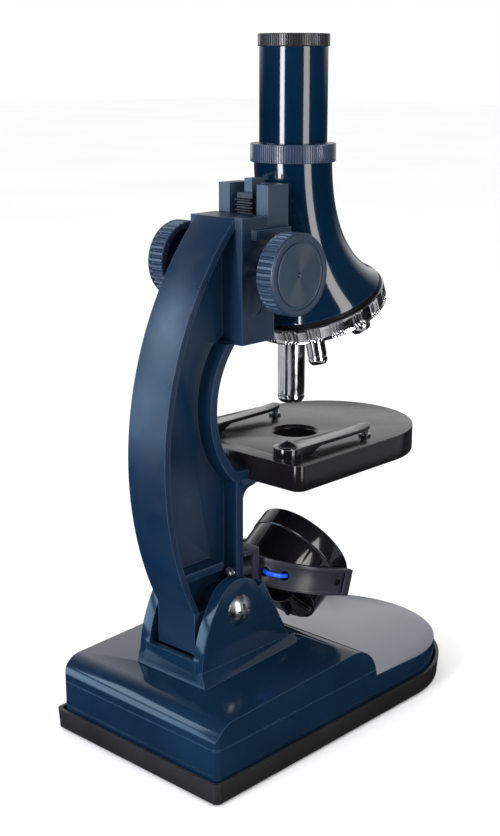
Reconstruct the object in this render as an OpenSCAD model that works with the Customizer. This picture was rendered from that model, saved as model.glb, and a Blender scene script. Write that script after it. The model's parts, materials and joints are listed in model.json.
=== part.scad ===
// Children's microscope: weighted base, tilting C-shaped arm, rack focus, lens turret and
// swivelling battery lamp. The rounded front of the base points to -Y and +Z is up.
// The origin is the middle of the footprint, on the table. All sizes are millimetres.

/* [Base] */
// Width of the base tray
base_w = 76; // [75.5:0.5:77]
// Length of the base tray
base_l = 139.8; // [139.4:0.2:141]
// Height of the tray rim above the table
tray_h = 7.6; // [7.2:0.1:8]
// Height of the rear edge of the cover's raised part
cover_h = 25.3; // [25.1:0.1:25.5]
// Height of the low plate at the nose
plate_h = 13.2; // [12.8:0.1:13.6]

/* [Arm and hinge] */
// Distance of the tilt hinge behind the origin
hinge_y = 35; // [34.8:0.1:35.2]
// Height of the tilt hinge above the table
hinge_z = 47; // [46.8:0.1:47.2]
// Radius of the hinge bolt
hinge_r = 2.5; // [2.2:0.1:2.7]
// Outer radius of the arm's curved back
arm_r = 106; // [105.5:0.1:106.5]
// Width of the arm's flanges
arm_w = 16.4; // [15.6:0.2:16.4]
// Width of the focus housing at the top of the arm
housing_w = 22; // [21.8:0.1:22.2]

/* [Stage] */
// Width of the stage
stage_w = 59.2; // [58:0.2:60]
// Height of the stage's top face
stage_top = 95.2; // [95:0.1:95.4]
// Depth of the stage's rim
stage_h = 8.4; // [8:0.1:8.8]
// Radius of the light hole
light_hole_r = 7.2; // [6.5:0.1:8]

/* [Body tube] */
// Distance of the optical axis in front of the origin
tube_front = 5.6; // [5.5:0.1:5.7]
// Outer radius of the draw tube
tube_r = 10.92; // [10.8:0.01:11]
// Overall height
total_h = 225; // [224:0.5:226]
// Radius of the eyepiece cap
cap_r = 11.43; // [11.2:0.01:11.8]
// Outer radius of the knurled neck ring
ring_r = 13.78; // [13.5:0.01:14]

/* [Turret] */
// Radius of the turret disc
turret_r = 23.3; // [22.8:0.1:23.6]
// Thickness of the turret disc
turret_t = 5.8; // [5.5:0.1:6]
// Angle by which the turret leans forward and up
turret_tilt = 21.67; // [21.5:0.01:21.8]

/* [Focus] */
// Height of the focus shaft
shaft_z = 154.4; // [154:0.1:154.8]
// Radius of the focus knobs
knob_r = 12.66; // [12.2:0.02:12.8]
// Distance between the outer faces of the two knobs
knob_span = 53.9; // [53:0.1:55]

/* [Lamp] */
// Outer radius of the lamp's mouth
lamp_r = 17.8; // [17.5:0.1:17.9]
// Angle of the lamp's beam above the horizontal
lamp_up = 33; // [31:1:35]
// Angle of the yoke, rear end up
yoke_tilt = 17; // [15:0.5:18]

/* [Hidden] */
$fn = 96;

navy = "#14365c";
black = "#1c1b1d";
slate = "#3b3d4c";
steel = "#b9bdc4";
chrome = "#dfe3ea";
blue_wire = "#2a62e8";

// Clearances: a running fit, a snug fit and a gap between plain faces
run = 0.06;
snug = 0.02;
gap = 0.05;

// Base
foot_h = 0.8;
floor_top = 2.4;
rim_t = 1.2;
cover_inset = 2.3;
cover_t = 2.2;
corner_r = 2;
parting_z = 17.4;
nose_y = base_w / 2 - base_l / 2;
cover_rear = base_l / 2 - cover_inset;
rear_round_r = 7.5;
rear_round = [cover_rear - rear_round_r, cover_h - rear_round_r];
shoulder = [2.6, 14.6];
shoulder_r = 12.7;
plate_rise = 0.0357;
front_screws = [28, -28];
rear_screws = [30.45, 62.35];
battery_y = [34.7, 50.2];
battery_z = 10;
battery_r = 7.1;
contact_x = 27.5;
door = [27.4, 22, 59];
door_screw_y = 24.2;
feet = [[32.2, 50], [22, -45]];
foot_r = 3.5;
case_screw_r = 1.3;

// Pedestal of the hinge
ear_in = 10.2;
ear_out = 14.3;
ear_top_r = 10.5;
ear_rear_r = 43.2;
ear_rear_c = [9.1, 27];
slot_floor = 27.3;
pedestal_y = [50, 52.3];
pedestal_wall_z = 33.75;
pedestal_foot_z = 25.3;

// Arm
arm_c = [-45.1, 96];
arm_top = 170.7;
arm_low = 47.6;
flange_t = 2.2;
throat_c = [8.3, 111.5];
throat_r = 30;
throat_t = 2.9;
housing_low = 131.7;
housing_y = [18.6, 30];
strip_y = [26.7, 29.7];
web_t = 4.8;
tongue_w = 16.6;
tongue_rear = 49.3;
tongue_low = 34.3;

// Focus drive
shaft_y = 21.3;
shaft_r = 2;
gear_module = 0.5;
pinion_teeth = 14;
pitch_r = gear_module * pinion_teeth / 2;
rack_pitch = PI * gear_module;
rack_y = shaft_y - pitch_r;
rack_w = 6.6;
knob_w = 6.55;
slide_y = [8.45, 17.9];
slide_w = 21;
slide_split = 162;
slide_top = 179.8;
slide_low = 142;
slide_screw_at = [3.7, [150, 174]];

// Stage
stage_low = stage_top - stage_h;
stage_rear = 24.1;
stage_plate = 2.5;
stage_wall = 2;
stage_c = -24.9;
hole_y = -7.6;
clip_pivot = [19.8, 18.5];
// Rest angle of each clip, left and right
clip_turn = [-2.6, -1.2];
clip_len = 38.6;
clip_hub_h = 3.8;
shelf = [17.6, 2.4];
stage_screw_at = [4, 19.5];

// Head and turret
tube_y = -tube_front;
head_top = 186;
neck_r = 12.6;
turret_c = [0, -17.4, 140.55];
turret_axis = [0, sin(turret_tilt), cos(turret_tilt)];
apex = [0, tube_y, turret_c[2] + (tube_y - turret_c[1]) / tan(turret_tilt)];
skirt_gap = 1.3;
skirt_r = 22.3;
skirt_c = turret_c + skirt_gap * turret_axis;
head_wall = 2.2;
socket_z = 176;
objective_turns = [0, 31.2, 90.9];
objective_r = [4.5, 3.15, 3.6];
objective_tip = [64.2, 51.6, 46.6];
objective_root = 36.3;
barrel_top = 39.6;
shank_step = 0.5;
click_r = 20.4;
pivot_r = 2.5;

// Lamp
pivot = [0, -5.2, 46.7];
mouth = [0, -13.6, 52.9];
lamp_rim_l = 6.9;
lamp_l = 19.5;
lamp_back_r = 16.8;
pivot_boss_x = 19.5;
pin_r = 1.3;
// Pivot in the lamp's own frame: across the beam and along it
pivot_in_lamp = [0, -0.62, -10.43];
band_r = [19.6, 22.4];
band_u = 4;
band_h = 9;
arm_end_u = -6.6;
wire_holes = [25, 43];
wire_hole_r = 1.65;
wire_r = 0.75;
bracket = [9, 20, 22.5, 48, 63];
yoke_screw_at = [5.2, 55.5];
// Route of the lamp wire round the yoke: [angle from the rear, distance from the bend's centre]
wire_route = [
    [5, 20.4], [9, 18.8], [16, 18.6], [21, 19.3], [25, 21.5], [29, 23.7], [34, 24.3],
    [39, 23.7], [43, 21.5], [47, 19.3], [53, 18.7], [62, 18.7], [71, 18.7], [80, 18.7], [88, 18.7]
];

// ---------- helpers ----------

// Extrudes an outline drawn in (y, z) from x0 to x1.
module across(x0, x1) {
    translate([x0, 0, 0]) rotate([90, 0, 90]) linear_extrude(x1 - x0) children();
}

// Extrudes an outline drawn in (y, z) over a width centred on the middle plane.
module centred(w) {
    across(-w / 2, w / 2) children();
}

// Rod of radius r along X from x0 to x1 at (y, z).
module rod_x(r, x0, x1, y, z) {
    translate([x0, y, z]) rotate([0, 90, 0]) cylinder(r = r, h = x1 - x0);
}

// Rod of radius r along Y from y0 to y1 at (x, z).
module rod_y(r, y0, y1, x, z) {
    translate([x, y1, z]) rotate([90, 0, 0]) cylinder(r = r, h = y1 - y0);
}

module both_sides() {
    children();
    mirror([1, 0, 0]) children();
}

// Closed skin over a stack of rings with the same number of points.
module skin(rings) {
    n = len(rings);
    m = len(rings[0]);
    walls = [for (i = [0:n - 2], k = [0:m - 1])
        let (a = i * m + k, b = i * m + (k + 1) % m) [a, a + m, b + m, b]];
    low = [for (k = [0:m - 1]) k];
    high = [for (k = [m - 1:-1:0]) (n - 1) * m + k];
    polyhedron([for (ring = rings) each ring], concat([low], walls, [high]));
}

function unit(v) = v / norm(v);

function heading(p, i) = unit(p[min(i + 1, len(p) - 1)] - p[max(i - 1, 0)]);

function ring_at(p, i, r, ref, sides) =
    let (t = heading(p, i), a = unit(cross(ref, t)), b = cross(t, a))
    [for (k = [0:sides - 1]) p[i] + r * (cos(360 * k / sides) * a + sin(360 * k / sides) * b)];

// Round wire of radius r along the points p; ref is never parallel to the wire.
module wire(p, r, ref, sides) {
    skin([for (i = [0:len(p) - 1]) ring_at(p, i, r, ref, sides)]);
}

// Lens with two equal bulges and a plain rim, centred at the origin, axis Z.
module lens(r, thick) {
    rim = thick / 3;
    bulge = (thick - rim) / 2;
    ball_r = (r * r + bulge * bulge) / (2 * bulge);
    intersection() {
        translate([0, 0, ball_r - thick / 2]) sphere(ball_r, $fn = 4 * $fn);
        translate([0, 0, thick / 2 - ball_r]) sphere(ball_r, $fn = 4 * $fn);
        translate([0, 0, -thick]) cylinder(r = r, h = 2 * thick);
    }
}

// Pan head with a cross recess; its flat side is at z = 0 and the dome rises to h.
module pan_head(r, h) {
    ball_r = (r * r + h * h) / (2 * h);
    difference() {
        intersection() {
            translate([0, 0, h - ball_r]) sphere(ball_r);
            cylinder(r = r, h = h);
        }
        for (a = [0, 90]) rotate([0, 0, a]) translate([-r / 2, -r / 9, h / 2]) cube([r, r / 4.5, h]);
    }
}

// Self-tapping screw pointing to -Z, the underside of its head at z = 0.
module tapping_screw(head_r, head_h, r, length) {
    pan_head(head_r, head_h);
    translate([0, 0, -length]) cylinder(r = r, h = length + head_h / 4);
}

module turret_frame() {
    translate(turret_c) rotate([-turret_tilt, 0, 0]) children();
}

// Frame of one objective: its own axis is -Z from the point where all the axes meet.
module objective_frame(i) {
    translate(apex) rotate(a = objective_turns[i], v = turret_axis) children();
}

module lamp_frame() {
    translate(mouth) rotate([90 - lamp_up, 0, 0]) children();
}

// Frame of the yoke: x across, y towards its rear, pivot at the origin.
module yoke_frame() {
    translate(pivot) rotate([yoke_tilt, 0, 0]) children();
}

// ---------- base ----------

// Outline of the base: straight sides, round nose and small rear corners.
module footprint(inset) {
    hw = base_w / 2 - inset;
    rear = base_l / 2 - inset;
    translate([0, nose_y]) circle(hw);
    translate([-hw, nose_y]) square([2 * hw, rear - corner_r - nose_y]);
    translate([corner_r - hw, nose_y]) square([2 * (hw - corner_r), rear - nose_y]);
    for (s = [-1, 1]) translate([s * (hw - corner_r), rear - corner_r]) circle(corner_r);
}

module at_case_screws() {
    both_sides() {
        translate([front_screws[0], front_screws[1], 0]) children();
        translate([rear_screws[0], rear_screws[1], 0]) children();
    }
}

// Walls of the battery box, standing on the tray floor.
module battery_walls() {
    wall = 1.4;
    x = contact_x + 0.5;
    y0 = battery_y[0] - battery_r - 0.2;
    y1 = battery_y[1] + battery_r + 0.2;
    translate([-x - wall, y0 - wall, floor_top - 0.4]) difference() {
        cube([2 * (x + wall), y1 - y0 + 2 * wall, 9]);
        translate([wall, wall, -1]) cube([2 * x, y1 - y0, 12]);
    }
}

module base_tray() {
    color(black) difference() {
        union() {
            difference() {
                translate([0, 0, foot_h]) linear_extrude(tray_h - foot_h) footprint(0);
                translate([0, 0, floor_top]) linear_extrude(tray_h) footprint(rim_t);
            }
            battery_walls();
            at_case_screws() translate([0, 0, foot_h]) cylinder(r = 2.85, h = 4.2);
            translate([0, door_screw_y, floor_top + gap]) cylinder(r = 3, h = 7);
            translate([-3, door_screw_y, floor_top + gap]) cube([6, 2.6, 7]);
        }
        translate([-door[0] - 0.1, door[1] - 0.1, 0])
            cube([2 * door[0] + 0.2, door[2] - door[1] + 0.2, floor_top + gap]);
        translate([0, door_screw_y, 0]) cylinder(r = case_screw_r + snug, h = 8.5);
        at_case_screws() {
            cylinder(r = 2.3, h = 3);
            cylinder(r = case_screw_r + run, h = 8);
        }
        both_sides() for (p = feet) translate([p[0], p[1], 0]) cylinder(r = foot_r + snug, h = 1.7);
    }
}

// Side outline of the cover, moved inward by t.
module cover_profile(t) {
    rear = cover_rear - t;
    front = shoulder[0] - shoulder_r + t;
    plate_end = plate_h + plate_rise * (shoulder[0] + base_l / 2);
    translate(shoulder) circle(shoulder_r - t);
    translate(rear_round) circle(rear_round_r - t);
    polygon([[rear, 0], [rear, rear_round[1]], [rear_round[0], cover_h - t],
        [shoulder[0], shoulder[1] + shoulder_r - t], [front, shoulder[1]], [front, 0]]);
    polygon([[-base_l / 2, 0], [-base_l / 2, plate_h - t], [shoulder[0], plate_end - t],
        [shoulder[0], 0]]);
}

module cover_block(inset, t, low) {
    intersection() {
        centred(base_w) cover_profile(t);
        translate([0, 0, low]) linear_extrude(2 * cover_h) footprint(inset);
    }
}

// Side outline of one hinge ear.
module ear_profile() {
    r = ear_top_r;
    foot = 6.1;
    slope = 54;
    corner = 9.1;
    flare_r = foot / tan(slope / 2);
    out = 27;
    away = unit([hinge_y, hinge_z] - ear_rear_c);
    translate([hinge_y, hinge_z]) circle(r);
    intersection() {
        translate(ear_rear_c) circle(ear_rear_r);
        polygon([[corner - foot, pedestal_foot_z], [corner - foot, slot_floor], [corner, slot_floor],
            [corner + 40 * cos(slope) - 9, slot_floor + 40 * sin(slope) - 6.2],
            [hinge_y, hinge_z], [hinge_y, hinge_z] + out * away, [hinge_y + out, pedestal_foot_z]]);
    }
    difference() {
        polygon([[corner - foot, slot_floor], [corner + 8, slot_floor],
            [corner + foot * cos(slope) + 2, slot_floor + foot * sin(slope) - 1],
            [corner + foot * cos(slope), slot_floor + foot * sin(slope)]]);
        translate([corner - foot, slot_floor + flare_r]) circle(flare_r);
    }
}

module base_cover() {
    rear_boss_top = 19;
    front_boss_top = 13.5;
    color(navy) difference() {
        union() {
            difference() {
                cover_block(cover_inset, 0, floor_top);
                cover_block(cover_inset + cover_t, cover_t, 0);
            }
            both_sides() {
                translate([front_screws[0], front_screws[1], 5 + gap])
                    cylinder(r = 3.2, h = front_boss_top - 5);
                translate([rear_screws[0], rear_screws[1], 5 + gap])
                    cylinder(r = 3.3, h = rear_boss_top - 5);
                across(ear_in, ear_out) ear_profile();
                translate([0, pedestal_y[1], 0]) rotate([90, 0, 0])
                    linear_extrude(pedestal_y[1] - 8)
                    polygon([[ear_out - 0.3, 25], [16, 25], [15.6, 26.3], [ear_out, 30.5],
                        [ear_out - 0.3, 30.5]]);
            }
            translate([-ear_out, 8, pedestal_foot_z])
                cube([2 * ear_out, pedestal_y[1] - 8, slot_floor - pedestal_foot_z]);
            translate([-ear_in - 1, pedestal_y[0], pedestal_foot_z])
                cube([2 * ear_in + 2, pedestal_y[1] - pedestal_y[0],
                    pedestal_wall_z - pedestal_foot_z]);
        }
        at_case_screws() cylinder(r = case_screw_r + snug, h = 12);
        // Fine parting line round the raised part
        translate([0, 0, parting_z]) linear_extrude(0.25) difference() {
            footprint(cover_inset - 1);
            footprint(cover_inset + 0.2);
        }
        rod_x(hinge_r + 0.04, -ear_out - 1, ear_out + 1, hinge_y, hinge_z);
    }
}

module battery_door() {
    color(black) difference() {
        translate([-door[0], door[1], foot_h])
            cube([2 * door[0], door[2] - door[1], floor_top - foot_h - 0.1]);
        translate([0, door_screw_y, 0]) cylinder(r = case_screw_r + run, h = 4);
        translate([0, door_screw_y, 0]) cylinder(r = 2.4, h = 1.4);
    }
}

module door_screw() {
    color(steel) translate([0, door_screw_y, 1.4]) mirror([0, 0, 1])
        tapping_screw(2.2, 0.6, case_screw_r, 6.6);
}

module battery() {
    rod_x(battery_r, -23, 26.2, 0, 0);
    rod_x(2.7, 26.2, contact_x - gap, 0, 0);
}

module batteries() {
    color("#c8892e") {
        translate([0, battery_y[0], battery_z]) battery();
        translate([0, battery_y[1], battery_z]) mirror([1, 0, 0]) battery();
    }
}

module contact_plates() {
    low = 4;
    h = 12;
    t = 0.45;
    color(steel) {
        translate([contact_x, battery_y[0] - 5.5, low])
            cube([t, battery_y[1] - battery_y[0] + 11, h]);
        for (y = battery_y) translate([-contact_x - t, y - 5.5, low]) cube([t, 11, h]);
    }
}

// Conical coil from the contact plate to the flat end of a battery.
module contact_spring() {
    turns = 4;
    steps = 12;
    length = contact_x - 23 - 0.8;
    p = [for (i = [0:turns * steps]) let (a = 360 * i / steps, s = i / (turns * steps))
        [-contact_x + 0.4 + length * s, (4 - 1.6 * s) * cos(a), (4 - 1.6 * s) * sin(a)]];
    wire(p, 0.35, [1, 0, 0], 6);
}

module contact_springs() {
    color(steel) {
        translate([0, battery_y[0], battery_z]) contact_spring();
        translate([0, battery_y[1], battery_z]) mirror([1, 0, 0]) contact_spring();
    }
}

module rubber_feet() {
    color("#111111") both_sides() for (p = feet)
        translate([p[0], p[1], 0]) cylinder(r = foot_r, h = 1.7 - gap);
}

module case_screws() {
    color(steel) at_case_screws() translate([0, 0, 3]) mirror([0, 0, 1])
        tapping_screw(2.1, 1.4, case_screw_r, 8);
}

module hinge_screw() {
    color(chrome) {
        rod_x(hinge_r, -ear_out - 0.4, ear_out + 3.4, hinge_y, hinge_z);
        translate([-ear_out - gap, hinge_y, hinge_z]) rotate([0, -90, 0]) pan_head(5.1, 2.5);
    }
}

module hinge_nut() {
    color(steel) difference() {
        translate([ear_out + gap, hinge_y, hinge_z]) rotate([0, 90, 0]) cylinder(r = 4.6, h = 2.8, $fn = 6);
        rod_x(hinge_r + snug, ear_out - 1, ear_out + 4, hinge_y, hinge_z);
    }
}

// ---------- arm ----------

// Everything of the arm's side view between the curved back and the throat.
module arm_field() {
    difference() {
        intersection() {
            translate(arm_c) circle(arm_r - flange_t / 2);
            polygon([[28, 36], [28, 88], [20, housing_low + 1], [24, arm_top], [60, arm_top], [60, 36]]);
        }
        translate(throat_c) circle(throat_r + throat_t / 2);
    }
}

module rear_flange_profile() {
    intersection() {
        difference() {
            translate(arm_c) circle(arm_r);
            translate(arm_c) circle(arm_r - flange_t);
        }
        translate([24, arm_low]) square([40, arm_top - arm_low]);
    }
}

module front_flange_profile() {
    strip_low = 40;
    strip_top = 89;
    intersection() {
        difference() {
            translate(throat_c) circle(throat_r + throat_t);
            translate(throat_c) circle(throat_r);
        }
        translate([24, 87.7]) square([20, housing_low + 0.5 - 87.7]);
    }
    difference() {
        translate([strip_y[0], strip_low])
            square([strip_y[1] - strip_y[0], strip_top - strip_low]);
        translate(throat_c) circle(throat_r);
    }
}

// Tongue that swings between the ears, with an eye for the hinge bolt.
module tongue_profile() {
    front = 28;
    translate([front, tongue_low + 2]) square([tongue_rear - front, arm_low - tongue_low - 2 + 0.3]);
    translate([front + 2, tongue_low]) square([tongue_rear - front - 2, 4]);
    translate([front + 2, tongue_low + 2]) circle(2);
    translate([hinge_y, hinge_z]) circle(6.5);
}

module shelf_profile() {
    translate([shelf[0], stage_low - shelf[1]]) square([28 - shelf[0], shelf[1] - gap]);
}

// Block between the arm and the rear of the stage, with a fillet under it.
module bracket_profile() {
    low = stage_low - shelf[1];
    front = stage_rear + 0.1;
    fillet = 4;
    translate([front, low]) square([strip_y[1] - 0.1 - front, 90.3 - low]);
    difference() {
        translate([strip_y[0] - fillet, low - fillet]) square([fillet + 0.5, fillet + 0.5]);
        translate([strip_y[0] - fillet, low - fillet]) circle(fillet);
    }
}

// Shallow U-shaped groove in the side of the housing.
module u_groove_profile() {
    mid = [24, 143.4];
    r = [2.5, 3.1];
    difference() {
        translate(mid) circle(r[1]);
        translate(mid) circle(r[0]);
        translate([mid[0] - 4, mid[1]]) square([8, 4]);
    }
    for (s = [-1, 1]) translate([mid[0] + s * (r[0] + r[1]) / 2 - 0.3, mid[1] - 0.1]) square([0.6, 5]);
}

// Cheeks, lips and upper lugs that guide the slide on one side.
module slide_guide() {
    cheek_in = 8.7;
    lip_in = 7.6;
    cheek_y = 15.4;
    top = 152;
    lug_out = 13;
    lug = [9, 25.8, 164, 167];
    lug_r = 1.2;
    across(cheek_in, housing_w / 2)
        translate([cheek_y, housing_low]) square([housing_y[0] - cheek_y + 1, top - housing_low]);
    across(lip_in, cheek_in + 0.5)
        translate([cheek_y, 134]) square([1.1, top - 134]);
    across(slide_w / 2 + 0.12, lug_out)
        translate([lug[0] + lug_r, lug[2]]) square([lug[1] - lug[0] - lug_r, lug[3] - lug[2]]);
    translate([lug_out - lug_r, lug[0] + lug_r, lug[2]]) cylinder(r = lug_r, h = lug[3] - lug[2]);
    across(slide_w / 2 + 0.12, lug_out - lug_r)
        translate([lug[0], lug[2]]) square([2 * lug_r, lug[3] - lug[2]]);
}

module arm_frame() {
    rib_y = 36;
    rib_z = [59.5, 62];
    color(navy) difference() {
        union() {
            centred(web_t) arm_field();
            centred(arm_w) rear_flange_profile();
            centred(arm_w) front_flange_profile();
            centred(tongue_w) tongue_profile();
            centred(arm_w) intersection() {
                translate([rib_y, rib_z[0]]) square([30, rib_z[1] - rib_z[0]]);
                translate(arm_c) circle(arm_r - 1);
            }
            centred(14) shelf_profile();
            centred(arm_w) bracket_profile();
            centred(housing_w) translate([housing_y[0], housing_low])
                square([housing_y[1] - housing_y[0], arm_top - housing_low]);
            both_sides() slide_guide();
        }
        rod_x(hinge_r + run, -tongue_w, tongue_w, hinge_y, hinge_z);
        rod_x(shaft_r + 0.05, -housing_w, housing_w, shaft_y, shaft_z);
        // Pocket of the pinion, open towards the rack
        rod_x(4.6, -4.6, 4.6, shaft_y, shaft_z);
        translate([-4.6, 16, shaft_z - 4.6]) cube([9.2, shaft_y - 16, 9.2]);
        both_sides() {
            rod_x(7, housing_w / 2 - 0.8, housing_w, shaft_y, shaft_z);
            across(housing_w / 2 - 0.35, housing_w) u_groove_profile();
            rod_y(case_screw_r + run, strip_y[0] - 1, strip_y[1] + 1, yoke_screw_at[0], yoke_screw_at[1]);
            translate([stage_screw_at[0], stage_screw_at[1], stage_low - 6])
                cylinder(r = case_screw_r + run, h = 8);
        }
    }
}

module hinge_washers() {
    color(steel) both_sides() difference() {
        rod_x(5.5, tongue_w / 2 + snug, ear_in - 0.03, hinge_y, hinge_z);
        rod_x(hinge_r + run, 0, 20, hinge_y, hinge_z);
    }
}

// ---------- stage ----------

module stage_outline(inset) {
    hw = stage_w / 2 - inset;
    corner = 3 - min(inset, 2);
    rear = stage_rear - inset;
    translate([0, stage_c]) circle(hw);
    translate([-hw, stage_c]) square([2 * hw, rear - corner - stage_c]);
    translate([corner - hw, stage_c]) square([2 * (hw - corner), rear - stage_c]);
    for (s = [-1, 1]) translate([s * (hw - corner), rear - corner]) circle(corner);
}

module at_clip_pivots() {
    both_sides() translate([clip_pivot[0], clip_pivot[1], 0]) children();
}

module stage() {
    plate_z = stage_top - stage_plate;
    bevel = 1;
    color(black) difference() {
        union() {
            difference() {
                translate([0, 0, stage_low]) linear_extrude(stage_top - stage_low) stage_outline(0);
                translate([0, 0, stage_low - 1]) linear_extrude(plate_z - stage_low + 1)
                    stage_outline(stage_wall);
            }
            both_sides() translate([stage_screw_at[0], stage_screw_at[1], stage_low])
                cylinder(r = 3, h = stage_h - stage_plate + 0.5);
            translate([0, hole_y, stage_low])
                cylinder(r = light_hole_r + 1.5, h = stage_h - stage_plate + 0.5);
        }
        translate([0, hole_y, stage_low]) cylinder(r = light_hole_r, h = 20);
        translate([0, hole_y, stage_top - bevel])
            cylinder(r1 = light_hole_r, r2 = light_hole_r + 2 * bevel, h = 2 * bevel);
        at_clip_pivots() translate([0, 0, stage_low]) cylinder(r = 1.5 + snug, h = 20);
        both_sides() translate([stage_screw_at[0], stage_screw_at[1], stage_low - 1])
            cylinder(r = case_screw_r + snug, h = stage_h - 0.4);
    }
}

module stage_screws() {
    color(steel) both_sides()
        translate([stage_screw_at[0], stage_screw_at[1], stage_low - shelf[1] - gap])
        mirror([0, 0, 1]) tapping_screw(2.4, 1.6, case_screw_r, 9);
}

module clip_rivets() {
    plate_z = stage_top - stage_plate;
    color(black) at_clip_pivots() {
        translate([0, 0, plate_z - 1.2]) cylinder(r = 2.8, h = 1.2 - gap);
        translate([0, 0, plate_z - 0.5]) cylinder(r = 1.5, h = 7);
        translate([0, 0, stage_top + clip_hub_h + gap]) intersection() {
            translate([0, 0, -1.8]) sphere(3.6);
            cylinder(r = 3.1, h = 3);
        }
    }
}

// Height of the middle of the clip's bar at distance s from its pivot.
function bar_z(s) = stage_top + 2.9 + (s < 31 ? 0 : 0.7 * pow((s - 31) / (clip_len - 31), 2));

// Clip pointing to -Y from its pivot: a flat bar that is full height close to its hub.
module stage_clip() {
    t = 0.65;
    hub_r = 4.6;
    hub_w = 4;
    tip_r = 2.2;
    low = stage_top + gap;
    foot_at = [0, 1.4 - clip_len, low];
    stops = [0, 31, 33, 35, 37, clip_len];
    top = [for (s = stops) [-s, bar_z(s) + t]];
    bottom = [for (s = [clip_len, 37, 35, 33, 31, 12]) [-s, bar_z(s) - t]];
    root = [[-9.5, low + 1.3], [-8.2, low + 0.5], [-7.2, low], [0, low]];
    color(black) difference() {
        union() {
            translate([0, 0, low]) cylinder(r = hub_r, h = clip_hub_h - gap);
            intersection() {
                centred(3 * hub_w) polygon(concat(top, bottom, root));
                translate([0, 0, stage_top]) linear_extrude(6) {
                    polygon([[-hub_w, 0], [-tip_r, tip_r - clip_len], [tip_r, tip_r - clip_len],
                        [hub_w, 0]]);
                    translate([0, tip_r - clip_len]) circle(tip_r);
                }
            }
            translate(foot_at) cylinder(r = 2.1, h = 0.8);
            translate(foot_at) cylinder(r = 1.1, h = 2.9);
        }
        cylinder(r = 1.5 + run, h = 2 * stage_top);
    }
}

module stage_clip_left() {
    translate([-clip_pivot[0], clip_pivot[1], 0]) rotate([0, 0, clip_turn[0]]) stage_clip();
}

module stage_clip_right() {
    translate([clip_pivot[0], clip_pivot[1], 0]) rotate([0, 0, clip_turn[1]]) stage_clip();
}

// ---------- lamp ----------

// Outline of the yoke out to radius r: a half circle at the rear with straight arms.
module yoke_outline(r, end_u) {
    translate([0, band_u]) circle(r);
    translate([-r, end_u]) square([2 * r, band_u - end_u]);
}

module yoke_band(r0, r1, h, end_u) {
    linear_extrude(h, center = true) difference() {
        yoke_outline(r1, end_u);
        yoke_outline(r0, end_u - 1);
        translate([-r0, end_u - r1]) square([2 * r0, r1]);
    }
}

module yoke() {
    pad = 2.6;
    groove = 0.7;
    hw = bracket[0];
    lip = 1.6;
    join_y = strip_y[0] - gap;
    color(slate) difference() {
        union() {
            yoke_frame() {
                difference() {
                    yoke_band(band_r[0], band_r[1], band_h, arm_end_u);
                    yoke_band(band_r[1] - groove, band_r[1] + 1, band_h - 2, pad);
                }
                translate([-5, band_r[0] + band_u + 0.5, -4]) cube([10, 4.5, 8]);
            }
            translate([-hw, bracket[1], bracket[3]])
                cube([2 * hw, bracket[2] - bracket[1], bracket[4] - bracket[3]]);
            for (z = [bracket[3], bracket[4] - lip]) translate([-hw, bracket[1], z])
                cube([2 * hw, join_y - bracket[1], lip]);
            both_sides() rod_y(2.8, bracket[2] - 1, join_y, yoke_screw_at[0], yoke_screw_at[1]);
        }
        yoke_frame() {
            for (a = wire_holes) translate([0, band_u, 0]) rotate([0, 0, 90 + a])
                translate([band_r[0] - 2, 0, 0]) rotate([0, 90, 0]) cylinder(r = wire_hole_r, h = 8);
            rod_x(pin_r + snug, -30, 30, 0, 0);
        }
        both_sides() rod_y(case_screw_r + snug, bracket[1] + 0.5, 30, yoke_screw_at[0], yoke_screw_at[1]);
    }
}

module yoke_screws() {
    color(steel) both_sides() translate([yoke_screw_at[0], strip_y[1] + gap, yoke_screw_at[1]])
        rotate([-90, 0, 0]) tapping_screw(2.2, 1.4, case_screw_r, 7.5);
}

module pivot_pins() {
    color(steel) both_sides() rod_x(pin_r, 17.6, band_r[1] - 0.3, pivot[1], pivot[2]);
}

module lamp_wire() {
    p = [for (q = wire_route) [-q[1] * sin(q[0]), band_u + q[1] * cos(q[0]), 0]];
    color(blue_wire) yoke_frame() wire(p, wire_r, [0, 0, 1], 8);
}

module lamp_cup() {
    wall = 1.8;
    front = -lamp_rim_l - gap;
    boss_r = 3.4;
    dome_r = 8.5;
    color(black) lamp_frame() difference() {
        union() {
            difference() {
                translate([0, 0, -lamp_l])
                    cylinder(r1 = lamp_back_r, r2 = lamp_r - 0.4, h = lamp_l + front);
                translate([0, 0, -lamp_l + wall])
                    cylinder(r1 = lamp_back_r - wall, r2 = lamp_r - 0.4 - wall, h = lamp_l);
            }
            translate([0, pivot_in_lamp[1], pivot_in_lamp[2]]) both_sides()
                rod_x(boss_r, lamp_back_r - 0.6, pivot_boss_x, 0, 0);
            translate([0, 0, -lamp_l + 0.2]) intersection() {
                translate([0, 0, 4.5]) sphere(9.6);
                translate([0, 0, -6]) cylinder(r = dome_r, h = 6);
            }
            for (a = [30:60:330]) rotate([0, 0, a]) translate([dome_r - 1, -0.7, -lamp_l - 1.4])
                cube([lamp_back_r - dome_r - 0.2, 1.4, 2]);
        }
        translate([0, pivot_in_lamp[1], pivot_in_lamp[2]]) rod_x(pin_r + run, -30, 30, 0, 0);
    }
}

module lamp_rim() {
    lip = 0.8;
    color(black) lamp_frame() difference() {
        translate([0, 0, -lamp_rim_l]) cylinder(r = lamp_r, h = lamp_rim_l);
        translate([0, 0, -lamp_rim_l - 1]) cylinder(r = lamp_r - 2, h = lamp_rim_l + 1 - lip);
        translate([0, 0, -lip - 1]) cylinder(r = lamp_r - 2.6, h = 4);
    }
}

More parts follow.
